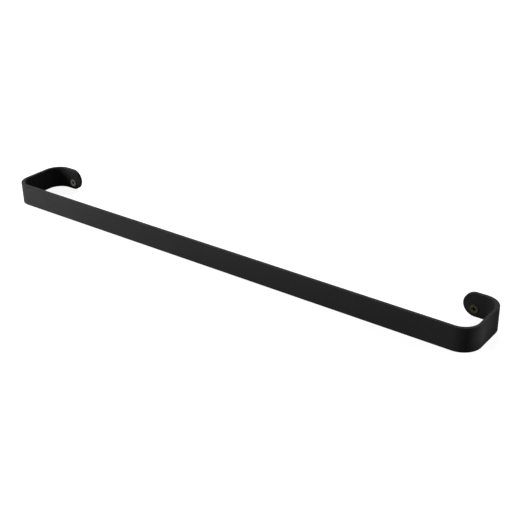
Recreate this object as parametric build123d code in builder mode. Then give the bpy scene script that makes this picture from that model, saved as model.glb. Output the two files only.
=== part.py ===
from build123d import *
import math
import os

# A wall-mounted towel bar: one flat steel bar, bent four times, and the two screws that hold it.
# The wall is the plane Y = 0 and the room is on its -Y side. X runs along the bar and Z is up.
# The origin is on the wall, midway between the two screws. Sizes are in millimetres.

# Bent flat bar
bar_length = 600.0  # over the outer faces of the two legs
bar_reach = 70.0  # from the wall to the front face
bar_width = 25.0
bar_thickness = 4.0
bend_radius = 16.0  # inside of each bend
foot_length = 42.0  # from the outer face of a leg to the tip of its foot
edge_radius = 0.5

# Screw holes in the feet
hole_from_tip = 12.0
hole_drop = 4.0  # below the middle of the bar's width
hole_clearance = 0.25  # around the thread
seat_clearance = 0.05  # around the cone of the head

# Countersunk wood screws
screw_length = 12.0
thread_radius = 2.25
neck_radius = 1.6
head_radius = 4.5
head_rim = 0.3  # straight edge between the face and the cone
head_angle = 90.0
head_stand = 0.8  # from the foot to the face of the head
point_length = 3.5
point_radius = 0.2

# Cross recess in the head, wide at its mouth and narrow at its floor
recess_depth = 2.3
mouth_span = 5.0
mouth_wing = 1.2
floor_span = 2.2
floor_wing = 0.9
left_turn = 28.0  # how far each cross stopped from upright, in degrees
right_turn = 4.0

# Places that follow from the sizes
outer_bend_radius = bend_radius + bar_thickness
tip_radius = bar_width / 2
tip_centre = bar_length / 2 - foot_length + tip_radius
screw_x = bar_length / 2 - foot_length + hole_from_tip
bar_middle = hole_drop
head_slope = math.tan(math.radians(head_angle / 2))
seat_radius = head_radius - (head_stand - head_rim) * head_slope + seat_clearance

with BuildPart() as bar:
    # The strip seen from above, from the end of one foot round to the end of the other
    with BuildSketch(Plane.XY.offset(bar_middle)) as strip:
        with BuildLine() as outline:
            FilletPolyline(
                (-tip_centre, 0),
                (-bar_length / 2, 0),
                (-bar_length / 2, -bar_reach),
                (bar_length / 2, -bar_reach),
                (bar_length / 2, 0),
                (tip_centre, 0),
                radius=outer_bend_radius,
            )
            offset(amount=bar_thickness, side=Side.LEFT, closed=True)
        make_face()
    extrude(amount=bar_width / 2, both=True)

    # Fully rounded ends on the feet
    with BuildSketch(Plane.XZ) as foot_ends:
        with Locations((tip_centre, bar_middle)):
            Circle(tip_radius)
            Rectangle(tip_radius, bar_width, align=(Align.MIN, Align.CENTER), mode=Mode.SUBTRACT)
        mirror(about=Plane.YZ)
    extrude(amount=bar_thickness)

    # Softened edges all along the strip, leaving out the lines where flats run into rounds
    bend_lines = bar.edges().filter_by(Axis.Z)
    tip_lines = bar.edges().filter_by(Axis.Y).filter_by_position(Axis.X, -tip_centre, tip_centre)
    fillet(bar.edges() - bend_lines - tip_lines, radius=edge_radius)

    # A countersunk hole in the room side of each foot
    hole_planes = [
        Plane(origin=(side * screw_x, -bar_thickness, 0), x_dir=(1, 0, 0), z_dir=(0, -1, 0))
        for side in (-1, 1)
    ]
    with Locations(*hole_planes):
        CounterSinkHole(
            radius=thread_radius + hole_clearance,
            counter_sink_radius=seat_radius,
            depth=bar_thickness,
            counter_sink_angle=head_angle,
        )


def draw_cross(span, wing, turn):
    """Two crossed bars of length span and width wing, in the open sketch."""
    Rectangle(span, wing, rotation=turn)
    Rectangle(wing, span, rotation=turn)


def make_screw(axis_x, turn):
    """A screw that runs into the wall at axis_x, its head seated in the foot."""
    face_y = -bar_thickness - head_stand
    neck_end = bar_thickness + head_stand
    cone_end = head_rim + (head_radius - neck_radius) / head_slope
    with BuildPart() as screw:
        # Half of the long section, from the face of the head to the point
        with BuildSketch(Plane(origin=(axis_x, face_y, 0))) as section:
            with BuildLine() as outline:
                Polyline(
                    (0, 0),
                    (head_radius, 0),
                    (head_radius, head_rim),
                    (neck_radius, cone_end),
                    (neck_radius, neck_end),
                    (thread_radius, neck_end),
                    (thread_radius, screw_length - point_length),
                    (point_radius, screw_length),
                    (0, screw_length),
                    close=True,
                )
            make_face()
        revolve(axis=Axis((axis_x, 0, 0), (0, 1, 0)))

        # The cross recess narrows with depth
        face_plane = Plane(origin=(axis_x, face_y, 0), x_dir=(1, 0, 0), z_dir=(0, -1, 0))
        with BuildSketch(face_plane) as recess_mouth:
            draw_cross(mouth_span, mouth_wing, turn)
        with BuildSketch(face_plane.offset(-recess_depth)) as recess_floor:
            draw_cross(floor_span, floor_wing, turn)
        loft(mode=Mode.SUBTRACT)
    return screw


left_screw = make_screw(-screw_x, left_turn)
right_screw = make_screw(screw_x, right_turn)

bar.part.label = "bar"
left_screw.part.label = "left_screw"
right_screw.part.label = "right_screw"

os.makedirs("parts", exist_ok=True)
export_step(bar.part, "parts/bar.step")
export_step(left_screw.part, "parts/left_screw.step")
export_step(right_screw.part, "parts/right_screw.step")
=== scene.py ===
import math

import bmesh
import bpy
from mathutils import Matrix, Vector


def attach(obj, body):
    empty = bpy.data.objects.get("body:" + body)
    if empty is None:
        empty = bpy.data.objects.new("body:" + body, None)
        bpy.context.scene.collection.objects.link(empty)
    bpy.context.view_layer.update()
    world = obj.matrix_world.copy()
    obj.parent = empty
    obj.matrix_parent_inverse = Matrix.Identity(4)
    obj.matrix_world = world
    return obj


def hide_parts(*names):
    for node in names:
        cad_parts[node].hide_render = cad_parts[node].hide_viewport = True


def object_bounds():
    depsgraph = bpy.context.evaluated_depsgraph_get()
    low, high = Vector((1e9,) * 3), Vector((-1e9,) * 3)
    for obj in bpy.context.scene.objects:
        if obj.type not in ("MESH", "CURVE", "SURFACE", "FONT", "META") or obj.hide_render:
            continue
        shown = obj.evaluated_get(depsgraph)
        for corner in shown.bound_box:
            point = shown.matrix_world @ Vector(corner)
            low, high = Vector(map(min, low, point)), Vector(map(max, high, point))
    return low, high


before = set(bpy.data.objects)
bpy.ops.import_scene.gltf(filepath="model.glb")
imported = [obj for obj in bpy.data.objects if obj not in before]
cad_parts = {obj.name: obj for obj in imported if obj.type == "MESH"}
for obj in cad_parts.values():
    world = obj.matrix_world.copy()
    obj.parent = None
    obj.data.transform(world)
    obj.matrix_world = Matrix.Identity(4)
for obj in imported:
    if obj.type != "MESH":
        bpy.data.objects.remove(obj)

# A wall-mounted towel bar of bent flat steel in black powder coat, and its two screws.
# The wall is the plane Y = 0, the room is on its -Y side, X runs along the bar and Z is up.
# Sizes are in millimetres, and MM turns them into metres. The studio's are in metres and watts.
MM = 0.001
cad_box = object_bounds()

# Bent flat bar
bar_length = 600.0
bar_reach = 70.0
bar_width = 25.0
bar_middle = 4.0  # the strip's middle line, above the screws
bar_thickness = 4.0
bend_radius = 20.0  # outside of each bend
foot_length = 42.0
edge_radius = 0.5

# Countersunk hole in each foot, its edges slightly broken
screw_x = 270.0
hole_radius = 2.5
hole_break = 0.15
seat_radius = 4.05
seat_break_depth = 0.05
seat_break_width = 0.07

# Screws
head_stand = 0.8  # from the foot to the face of the head
head_radius = 4.5
head_rim = 0.3
rim_round = 0.12
face_ring = 0.5  # a ring of the mesh, this far in from the rounded rim
shoulder_depth = 0.08
shoulder_width = 0.05
neck_radius = 1.6
neck_blend = 0.15  # from the end of the cone back to where it starts to round into the neck
neck_blend_end = 0.1
core_radius = 1.45
screw_end = 7.2
point_start = 3.7
point_curve = 0.8
screw_turns = {"left_screw": (-1, 28.0), "right_screw": (1, 4.0)}  # side, and turn in degrees

# Thread: a profile of shares of the pitch and of the height, and its start and end in turns
thread_radius = 2.25
thread_pitch = 1.6
thread_turns = 4
thread_start = 0.4  # behind the back of the foot
crest_share = 0.57
thread_profile = [
    (0.0, 0.0),
    (0.30, 0.0),
    (0.38, 0.12),
    (0.53, 0.92),
    (crest_share, 1.0),
    (0.61, 0.92),
    (0.76, 0.12),
    (0.84, 0.0),
]
rise_start = 0.85
rise_turns = 0.5
fall_turns = 1.4
collar_start = 0.4  # the neck narrows to the core between these distances before the thread
collar_end = 0.1

# Cross recess in each head
recess_depth = 2.3
mouth_span = 5.0
mouth_wing = 1.2
floor_span = 2.2
floor_wing = 0.9
mouth_chamfer = 0.1
web_cut = 0.42  # how far the corners between the wings are cut back
cross_sharpness = 14  # the higher, the harder the corners
floor_dish = 0.05
dish_span_share = 0.92
dish_wing_share = 0.9
recess_shares = (0.97, 0.6, 0.25)  # shares of the depth at which the mesh has rings

# How finely the meshes are cut
front_steps = 20  # on each side of the middle
bend_steps = 30
leg_steps = 3
foot_steps = 2
tip_steps = 60
edge_steps = 5
seam_steps = 14  # across the strip where a foot starts
screw_steps = 128
rim_steps = 4
sharp_angle = 32  # in degrees, from which an edge stays sharp

# Black powder coat
noise_sums = (0.6, 1.4)  # where two noises added together mostly lie
coat_tones = [
    (0.0, (0.0165, 0.0165, 0.0167)),
    (0.55, (0.0190, 0.0190, 0.0193)),
    (1.0, (0.0230, 0.0230, 0.0232)),
]
coat_roughness = (0.74, 0.84)
grain_share = 0.45  # of the coat's relief, beside the orange peel

# Yellow zinc plate, one finish in two copies with painted light: paler on the left screw as if lit, darker on
# the right screw as painted shade
zinc_stops = (0.3, 0.5, 0.62, 0.75)
zinc_patches = (0.3, 0.7)
zinc_roughness = (0.34, 0.48)
shade_start = 0.08  # painted shade: the recess is painted darker between these depths below the face of the head
shade_end = 0.7
shade_left = 0.04
unshaded_start = 0.1  # and the painted shade stops again from here past the recess's floor
unshaded_end = 0.5
screw_tints_with_painted_light = {
    "left_screw": [
        (0.084, 0.075, 0.062),
        (0.116, 0.105, 0.088),
        (0.112, 0.102, 0.082),
        (0.122, 0.104, 0.086),
    ],
    "right_screw": [
        (0.016, 0.010, 0.007),
        (0.031, 0.028, 0.015),
        (0.037, 0.037, 0.020),
        (0.040, 0.030, 0.018),
    ],
}

# Studio
floor_radius = 9.0
floor_segments = 96
floor_gap = 0.00002
fade_start = 0.6  # how far out the floor starts to turn pure white
fade_end = 1.8
floor_tone = 0.5  # for the light that it throws back
seen_tone = 0.28  # as it is seen, with a glow that makes it white
seen_glow = 0.92
world_light = 0.05

# Camera, as it stood for the photograph: degrees, millimetres, and pixels of the picture
picture_side = 520
camera_azimuth = 37.23
camera_elevation = 27.335
camera_roll = -1.091
camera_distance = 1040.264
focal_pixels = 975.899
middle_pixel = (228.779, 244.186)
object_middle = Vector((0, -bar_reach / 2, bar_middle))
sensor_width = 36
near_clip = 10


def set_inputs(tree, node, inputs):
    """Link each named input of the node to the socket given for it, or set it to the value."""
    for name, value in inputs.items():
        if isinstance(value, bpy.types.NodeSocket):
            tree.links.new(value, node.inputs[name])
        else:
            node.inputs[name].default_value = value


def add_node(tree, kind, inputs=None, **settings):
    """A node of the given kind, with its settings, and its inputs linked or set."""
    node = tree.nodes.new(kind)
    for name, value in settings.items():
        setattr(node, name, value)
    set_inputs(tree, node, inputs or {})
    return node


def new_material(name):
    """A material, its node tree, its shader, and the place on the object."""
    material = bpy.data.materials.new(name)
    material.use_nodes = True
    tree = material.node_tree
    place = add_node(tree, "ShaderNodeTexCoord").outputs["Object"]
    return material, tree, tree.nodes["Principled BSDF"], place


def add_math(tree, operation, *values):
    inputs = dict(enumerate(values))
    return add_node(tree, "ShaderNodeMath", inputs, operation=operation).outputs[0]


def add_noise(tree, place, size, detail=2.0, roughness=0.5):
    """Noise whose features are about size millimetres across."""
    inputs = {"Vector": place, "Scale": 1 / (size * MM), "Detail": detail, "Roughness": roughness}
    return add_node(tree, "ShaderNodeTexNoise", inputs).outputs["Fac"]


def add_ramp(tree, factor, stops):
    """A colour ramp through the stops, each a position and a colour."""
    node = add_node(tree, "ShaderNodeValToRGB", {"Fac": factor})
    elements = node.color_ramp.elements
    while len(elements) < len(stops):
        elements.new(0.5)
    for element, (position, colour) in zip(elements, stops):
        element.position = position
        element.color = (*colour, 1)
    return node.outputs["Color"]


def add_range(tree, value, source, target):
    """The value, carried from the range source to the range target and held there."""
    inputs = {
        "Value": value,
        "From Min": source[0],
        "From Max": source[1],
        "To Min": target[0],
        "To Max": target[1],
    }
    return add_node(tree, "ShaderNodeMapRange", inputs).outputs["Result"]


def add_bump(tree, height, strength, distance):
    """Bump from the height, whose full range is distance millimetres."""
    inputs = {"Height": height, "Strength": strength, "Distance": distance * MM}
    return add_node(tree, "ShaderNodeBump", inputs).outputs["Normal"]


def make_powder_coat():
    """Satin black powder coat: fine grain over a soft orange peel, a little uneven in tone and gloss."""
    material, tree, shader, place = new_material("powder_coat")
    cloud = add_noise(tree, place, size=45, detail=3)
    peel = add_noise(tree, place, size=1.6, detail=2)
    grain = add_noise(tree, place, size=0.45, detail=3, roughness=0.65)
    tone = add_range(tree, add_math(tree, "ADD", cloud, grain), noise_sums, (0, 1))
    gloss = add_math(tree, "ADD", cloud, peel)
    height = add_math(tree, "MULTIPLY_ADD", grain, grain_share, peel)
    inputs = {
        "Base Color": add_ramp(tree, tone, coat_tones),
        "Roughness": add_range(tree, gloss, noise_sums, coat_roughness),
        "Normal": add_bump(tree, height, strength=0.5, distance=0.05),
        "Specular IOR Level": 0.02,
        "IOR": 1.5,
    }
    set_inputs(tree, shader, inputs)
    return material


def make_yellow_zinc(name, tints_with_painted_light):
    """Dulled yellow zinc plate, unevenly tinted, in tints with painted light, and with shade painted dark
    down in the recess.
    """
    material, tree, shader, place = new_material(name)
    patches = add_noise(tree, place, size=2.4, detail=3, roughness=0.6)
    grain = add_noise(tree, place, size=0.25, detail=3, roughness=0.6)
    # The tints carry painted light: the left screw's are paler, as lit, the right screw's darker, as painted
    # shade
    tint = add_ramp(tree, patches, list(zip(zinc_stops, tints_with_painted_light)))

    # Painted shade: dark from below the face of the head to the floor of the recess
    depth = add_node(tree, "ShaderNodeSeparateXYZ", {"Vector": place}).outputs["Y"]
    face_y = -(bar_thickness + head_stand) * MM
    floor_y = face_y + recess_depth * MM
    shade = (face_y + shade_start * MM, face_y + shade_end * MM)
    below_face = add_range(tree, depth, shade, (1.0, shade_left))
    past_floor = (floor_y + unshaded_start * MM, floor_y + unshaded_end * MM)
    past_recess = add_range(tree, depth, past_floor, (0.0, 1.0))
    painted_shade_mask = add_math(tree, "MAXIMUM", below_face, past_recess)
    mix = {"data_type": "RGBA", "blend_type": "MULTIPLY"}
    # The tint is multiplied by the painted shade of the recess
    colour = add_node(tree, "ShaderNodeMix", {6: tint, 7: painted_shade_mask, 0: 1.0}, **mix).outputs[2]

    inputs = {
        "Base Color": colour,
        "Roughness": add_range(tree, patches, zinc_patches, zinc_roughness),
        "Normal": add_bump(tree, grain, strength=0.35, distance=0.02),
        "Metallic": 1.0,
    }
    set_inputs(tree, shader, inputs)
    return material


def finish_mesh(mesh, name):
    """An object of the mesh, smooth but for its real edges, with its flats kept flat."""
    bmesh.ops.recalc_face_normals(mesh, faces=mesh.faces)
    data = bpy.data.meshes.new(name)
    mesh.to_mesh(data)
    mesh.free()
    data.shade_smooth()
    data.set_sharp_from_angle(angle=math.radians(sharp_angle))
    piece = bpy.data.objects.new(name, data)
    bpy.context.collection.objects.link(piece)
    normals = piece.modifiers.new("flat_faces", "WEIGHTED_NORMAL")
    normals.keep_sharp = True
    return piece


def spread(start, end, steps):
    """The places after start, up to end, in even steps."""
    return [start + (end - start) * step / steps for step in range(1, steps + 1)]


def strip_place(run, rise, depth):
    """Where a point of the strip lies. It is run along the outer face from the middle of the front, rise
    above the strip's middle line, and depth below the outer face."""
    turn = bend_radius * math.pi / 2
    along = abs(run)
    front = bar_length / 2 - bend_radius
    leg = bar_reach - 2 * bend_radius
    if along <= front:
        x, y, inward = along, -bar_reach, (0, 1)
    elif along <= front + turn:
        bend = (along - front) / bend_radius
        inward = (-math.sin(bend), math.cos(bend))
        x = front - bend_radius * inward[0]
        y = -bar_reach + bend_radius - bend_radius * inward[1]
    elif along <= front + turn + leg:
        x, y, inward = bar_length / 2, -bar_reach + bend_radius + along - front - turn, (-1, 0)
    elif along <= front + 2 * turn + leg:
        bend = (along - front - turn - leg) / bend_radius
        inward = (-math.cos(bend), -math.sin(bend))
        x = front - bend_radius * inward[0]
        y = -bend_radius - bend_radius * inward[1]
    else:
        x, y, inward = front - (along - front - 2 * turn - leg), 0, (0, -1)
    x += inward[0] * depth
    y += inward[1] * depth
    return Vector((math.copysign(x, run), y, bar_middle + rise)) * MM


def make_bar(name):
    """The bent strip as one closed mesh: fine bends, softened edges, rounded feet and countersunk holes."""
    turn = bend_radius * math.pi / 2
    half = bar_width / 2
    bend_start = bar_length / 2 - bend_radius
    leg_start = bend_start + turn
    leg_end = leg_start + bar_reach - 2 * bend_radius
    foot_start = leg_end + turn
    tip_centre = foot_start + foot_length - bend_radius - half
    hole_run = foot_start + bend_start - screw_x
    right_runs = spread(0, bend_start, front_steps)
    right_runs += spread(bend_start, leg_start, bend_steps)
    right_runs += spread(leg_start, leg_end, leg_steps)
    right_runs += spread(leg_end, foot_start, bend_steps)
    right_runs += spread(foot_start, tip_centre, foot_steps)
    runs = [-run for run in reversed(right_runs)] + [0.0] + right_runs
    tip_angles = [math.radians(-90 + 180 * step / tip_steps) for step in range(1, tip_steps)]
    mesh = bmesh.new()

    def add_point(run, rise, depth):
        """A point of the strip, with its vertex."""
        return run, rise, mesh.verts.new(strip_place(run, rise, depth))

    def outline(inset, depth):
        """The edge of the strip, drawn in by inset: along the bottom, round one tip, back along the top
        and round the other tip."""
        reach = half - inset
        tip = [(tip_centre + reach * math.cos(angle), reach * math.sin(angle)) for angle in tip_angles]
        places = [(run, -reach) for run in runs] + tip
        places += [(run, reach) for run in reversed(runs)] + [(-run, rise) for run, rise in reversed(tip)]
        return [add_point(run, rise, depth) for run, rise in places]

    def join(loop, other):
        """A band of faces between two closed loops of vertices."""
        for place in range(len(loop)):
            after = (place + 1) % len(loop)
            mesh.faces.new((loop[place], loop[after], other[after], other[place]))

    # The edge all round, from the outer face to the inner one
    bends = [math.radians(90 * step / edge_steps) for step in range(edge_steps + 1)]
    edge = [(edge_radius * (1 - math.sin(bend)), edge_radius * (1 - math.cos(bend))) for bend in bends]
    edge += [(inset, bar_thickness - depth) for inset, depth in reversed(edge)]
    rings = [outline(inset, depth) for inset, depth in edge]
    for ring, other in zip(rings, rings[1:]):
        join([point[2] for point in ring], [point[2] for point in other])

    # Both faces up to the feet, and the patch of each foot round its hole
    count = len(runs)
    tip_count = len(tip_angles)
    first = runs.index(-foot_start)
    last = runs.index(foot_start)
    feet = {1: [], -1: []}
    for ring, depth in ((rings[0], 0.0), (rings[-1], bar_thickness)):
        low = ring[:count]
        high = list(reversed(ring[count + tip_count : 2 * count + tip_count]))
        seams = {}
        for place in (first, last):
            run, rise, _ = low[place]
            seams[place] = [add_point(run, up, depth) for up in spread(rise, -rise, seam_steps)[:-1]]
        for place in range(first, last):
            side = [point[2] for point in seams.get(place + 1, [])]
            back = [point[2] for point in reversed(seams.get(place, []))]
            corners = [low[place][2], low[place + 1][2], *side, high[place + 1][2], high[place][2], *back]
            mesh.faces.new(corners)
        feet[1].append(ring[last : 2 * count + tip_count - last] + list(reversed(seams[last])))
        feet[-1].append(ring[2 * count + tip_count - 1 - first :] + ring[: first + 1] + seams[first])

    # Each hole, from the back of its foot up the countersunk seat to the room side
    hole_profile = [
        (hole_radius + hole_break, 0.0),
        (hole_radius, hole_break),
        (hole_radius, bar_thickness - (seat_radius - hole_radius)),
        (seat_radius - seat_break_depth, bar_thickness - seat_break_depth),
        (seat_radius + seat_break_width, bar_thickness),
    ]
    for side, (back, front) in feet.items():
        angles = [math.atan2(rise + bar_middle, side * run - hole_run) for run, rise, _ in back]
        loops = [[point[2] for point in back]]
        for radius, depth in hole_profile:
            loop = []
            for angle in angles:
                run = side * (hole_run + radius * math.cos(angle))
                rise = radius * math.sin(angle) - bar_middle
                loop.append(add_point(run, rise, depth)[2])
            loops.append(loop)
        loops.append([point[2] for point in front])
        for loop, other in zip(loops, loops[1:]):
            join(loop, other)

    return finish_mesh(mesh, name)


def cross_radius(angle, span, wing):
    """How far the edge of a cross with softened corners lies from its middle, in the direction of angle."""
    diagonal = max(abs(math.cos(angle + math.pi / 4)), abs(math.sin(angle + math.pi / 4)))
    reaches = [(wing / math.sqrt(2) + web_cut) / diagonal]
    for along, across in ((math.cos(angle), math.sin(angle)), (math.sin(angle), math.cos(angle))):
        sides = (2 * abs(along) / span) ** cross_sharpness + (2 * abs(across) / wing) ** cross_sharpness
        reaches.append(sides ** (-1 / cross_sharpness))
    return sum(reach**cross_sharpness for reach in reaches) ** (1 / cross_sharpness)


def make_screw(name, side, turn):
    """One closed mesh: recess, head, neck, and a thread that winds down to the point."""
    angles = [2 * math.pi * step / screw_steps for step in range(screw_steps)]
    face_y = -(bar_thickness + head_stand)
    mesh = bmesh.new()

    def add_point(angle, radius, y):
        heading = angle + math.radians(turn)
        x = side * screw_x + radius * math.cos(heading)
        return mesh.verts.new(Vector((x, y, radius * math.sin(heading))) * MM)

    def add_middle(y):
        return mesh.verts.new(Vector((side * screw_x, y, 0)) * MM)

    def add_ring(y, radius):
        return [add_point(angle, radius, y) for angle in angles]

    def add_cross(y, span, wing):
        return [add_point(angle, cross_radius(angle, span, wing), y) for angle in angles]

    # The recess, from its dished floor up to its chamfered mouth
    slope_span = (mouth_span - floor_span) / recess_depth
    slope_wing = (mouth_wing - floor_wing) / recess_depth
    dish_y = face_y + recess_depth - floor_dish
    rings = [add_cross(dish_y, floor_span * dish_span_share, floor_wing * dish_wing_share)]
    for share in (*recess_shares, mouth_chamfer / recess_depth):
        depth = recess_depth * share
        span = mouth_span - slope_span * depth
        wing = mouth_wing - slope_wing * depth
        rings.append(add_cross(face_y + depth, span, wing))
    rings.append(add_cross(face_y, mouth_span + 2 * mouth_chamfer, mouth_wing + 2 * mouth_chamfer))

    # The face of the head and its rounded rim
    rings.append(add_ring(face_y, head_radius - rim_round - face_ring))
    for part in range(rim_steps + 1):
        bend = math.radians(90 * part / rim_steps)
        radius = head_radius - rim_round * (1 - math.sin(bend))
        rings.append(add_ring(face_y + rim_round * (1 - math.cos(bend)), radius))

    # The cone of the head, the neck, and the collar down to the core of the thread
    rim_end = face_y + head_rim
    cone_end = rim_end + head_radius - neck_radius
    shank = [
        (rim_end, head_radius),
        (rim_end + shoulder_depth, head_radius - shoulder_width),
        (cone_end - neck_blend, neck_radius + neck_blend),
        (cone_end + neck_blend_end, neck_radius),
        (thread_start - collar_start, neck_radius),
        (thread_start - collar_end, core_radius),
    ]
    rings += [add_ring(y, radius) for y, radius in shank]
    for ring, other in zip(rings, rings[1:]):
        for step in range(screw_steps):
            after = (step + 1) % screw_steps
            mesh.faces.new((ring[step], ring[after], other[after], other[step]))
    bottom = add_middle(face_y + recess_depth)
    for step in range(screw_steps):
        mesh.faces.new((rings[0][(step + 1) % screw_steps], rings[0][step], bottom))

    # The thread: rows that climb one pitch a turn, so that a row ends where a later one starts
    lap = len(thread_profile)
    last_crest = thread_turns - 1 + crest_share

    def core_at(y):
        """The core's radius, drawn in towards the point."""
        share = min(1, max(0, (screw_end - y) / (screw_end - point_start)))
        return core_radius * share**point_curve

    def thread_point(angle, row, turns=0.0):
        """The point of a row of the profile, turns of the screw after the row's start."""
        share, height = thread_profile[row % lap]
        turn_count = row // lap + share + turns
        y = thread_start + thread_pitch * turn_count
        rise = max(0, (turn_count - rise_start) / rise_turns)
        fall = max(0, (last_crest - turn_count) / fall_turns)
        radius = core_at(y) + (thread_radius - core_radius) * min(1, rise, fall) * height
        return add_point(angle, radius, y)

    row_count = (thread_turns - 1) * lap + 1
    rows = [[thread_point(angle, row, angle / (2 * math.pi)) for angle in angles] for row in range(row_count)]
    tail = [thread_point(0, row) for row in range(row_count, row_count + lap)]
    seam = [ring[0] for ring in rows] + tail
    for row in range(row_count - 1):
        ring, other = rows[row], rows[row + 1]
        for step in range(screw_steps - 1):
            mesh.faces.new((ring[step], ring[step + 1], other[step + 1], other[step]))
        mesh.faces.new((ring[-1], seam[row + lap], seam[row + lap + 1], other[-1]))

    # Close the thread at the collar and at the point
    collar, first, last = rings[-1], rows[0], rows[-1]
    for step in range(screw_steps - 1):
        mesh.faces.new((collar[step], collar[step + 1], first[step + 1], first[step]))
    mesh.faces.new((collar[-1], collar[0], *seam[: lap + 1], first[-1]))
    tip = add_middle(screw_end)
    for step in range(screw_steps - 1):
        mesh.faces.new((last[step], last[step + 1], tip))
    mesh.faces.new((last[-1], seam[row_count - 1 + lap], tip))
    for row in range(row_count - 1, row_count - 1 + lap):
        mesh.faces.new((seam[row + 1], seam[row], tip))

    return finish_mesh(mesh, name)


def place_lamp(lamp, place, aim):
    """Put a lamp at place, looking at aim, out of the camera's sight."""
    item = bpy.data.objects.new(lamp.name, lamp)
    item.location = place
    item.rotation_euler = (Vector(aim) - Vector(place)).to_track_quat("-Z", "Y").to_euler()
    item.visible_camera = False
    bpy.context.collection.objects.link(item)


def add_softbox(name, place, aim, width, height, power):
    """A rectangular lamp at place that looks at aim."""
    lamp = bpy.data.lights.new(name, "AREA")
    lamp.shape = "RECTANGLE"
    lamp.size = width
    lamp.size_y = height
    lamp.energy = power
    place_lamp(lamp, place, aim)


def add_spot(name, place, aim, cone, radius, power):
    """A lamp whose narrow beam, cone degrees wide, fades out towards its edge."""
    lamp = bpy.data.lights.new(name, "SPOT")
    lamp.spot_size = math.radians(cone)
    lamp.spot_blend = 1.0
    lamp.shadow_soft_size = radius
    lamp.energy = power
    place_lamp(lamp, place, aim)


def add_background_share(tree):
    """1 for rays that see the background: from the camera, off gloss or through glass."""
    path = add_node(tree, "ShaderNodeLightPath").outputs
    seen = add_math(tree, "MAXIMUM", path["Is Camera Ray"], path["Is Glossy Ray"])
    return add_math(tree, "MAXIMUM", seen, path["Is Transmission Ray"])


def make_floor():
    """A wide pale floor that the bar lies on, and its soft shadow with it."""
    mesh = bmesh.new()
    bmesh.ops.create_circle(mesh, cap_ends=True, radius=floor_radius, segments=floor_segments)
    data = bpy.data.meshes.new("studio_floor")
    mesh.to_mesh(data)
    mesh.free()
    floor = bpy.data.objects.new("studio_floor", data)
    floor.location.z = cad_box[0][2] - floor_gap
    bpy.context.collection.objects.link(floor)

    material = bpy.data.materials.new("studio_white")
    material.use_nodes = True
    tree = material.node_tree
    tree.nodes.clear()
    seen = add_background_share(tree)
    place = add_node(tree, "ShaderNodeTexCoord").outputs["Object"]
    reach = add_node(tree, "ShaderNodeVectorMath", {0: place}, operation="LENGTH").outputs["Value"]
    seen_pale = add_range(tree, reach, (fade_start, fade_end), (seen_tone, 0.0))
    seen_light = add_range(tree, reach, (fade_start, fade_end), (seen_glow, 1.0))
    pale = add_range(tree, seen, (0, 1), (floor_tone, seen_pale))
    glow = add_range(tree, seen, (0, 1), (0, seen_light))
    paper = add_node(tree, "ShaderNodeBsdfDiffuse", {"Color": pale})
    white = add_node(tree, "ShaderNodeEmission", {"Color": (1, 1, 1, 1), "Strength": glow})
    both = add_node(tree, "ShaderNodeAddShader", {0: paper.outputs[0], 1: white.outputs[0]})
    add_node(tree, "ShaderNodeOutputMaterial", {"Surface": both.outputs[0]})
    data.materials.append(material)


def make_world():
    """White where it is seen, and a soft grey light from all round."""
    world = bpy.data.worlds.new("studio")
    bpy.context.scene.world = world
    world.use_nodes = True
    tree = world.node_tree
    strength = add_range(tree, add_background_share(tree), (0, 1), (world_light, 1.0))
    set_inputs(tree, tree.nodes["Background"], {"Color": (1, 1, 1, 1), "Strength": strength})


def make_camera():
    """The photograph's camera, moved sideways so that the bar lies where it does in the picture."""
    azimuth = math.radians(camera_azimuth)
    elevation = math.radians(camera_elevation)
    roll = math.radians(camera_roll)
    level_away = math.cos(elevation)
    away = Vector(
        (math.sin(azimuth) * level_away, -math.cos(azimuth) * level_away, math.sin(elevation))
    )
    level = Vector((math.cos(azimuth), math.sin(azimuth), 0))
    upright = away.cross(level)
    right = level * math.cos(roll) + upright * math.sin(roll)
    up = upright * math.cos(roll) - level * math.sin(roll)
    scale = camera_distance / focal_pixels
    place = object_middle + away * camera_distance
    place -= right * (middle_pixel[0] - picture_side / 2) * scale
    place -= up * (picture_side / 2 - middle_pixel[1]) * scale

    lens = bpy.data.cameras.new("camera")
    lens.sensor_width = sensor_width
    lens.lens = focal_pixels / picture_side * sensor_width
    lens.clip_start = near_clip * MM
    camera = bpy.data.objects.new("camera", lens)
    turned = Matrix((right, up, away)).transposed().to_4x4()
    camera.matrix_world = Matrix.Translation(place * MM) @ turned
    bpy.context.collection.objects.link(camera)
    bpy.context.scene.camera = camera


make_camera()

# The bar's solid gives way to a finer mesh of the same sizes
bar = make_bar("bar_coated")
bar.data.materials.append(make_powder_coat())
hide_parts("bar")
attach(bar, "root")

# Each screw's plain solid gives way to one with its thread
for node, (side, turn) in screw_turns.items():
    screw = make_screw(node + "_threaded", side, turn)
    # The left screw's copy of the zinc is painted paler as lit, the right screw's darker as painted shade
    screw.data.materials.append(make_yellow_zinc(node + "_zinc", screw_tints_with_painted_light[node]))
    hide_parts(node)
    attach(screw, "root")

make_floor()
make_world()

# The key lights the left end from low down, and the beam lights the right leg
left_end = (-0.27, -0.07, 0.004)
right_leg = (0.279, -0.08, 0.004)
add_softbox("key", (-0.47, -0.36, 0.022), left_end, width=0.25, height=0.05, power=2.08)
add_softbox("fill", (-1.3, -1.4, 0.62), (0, -0.05, 0), width=1.0, height=0.5, power=31.5)
add_softbox("back", (-0.9, 1.15, 0.85), (0, 0, 0), width=1.6, height=0.8, power=66)
add_softbox("side", (0.6, 0.2, 0.12), (0.3, -0.03, 0), width=0.2, height=0.2, power=0.35)
add_spot("beam", (0.54, 0.145, 0.045), right_leg, cone=9, radius=0.015, power=6.0)

bpy.context.scene.view_settings.view_transform = "Standard"
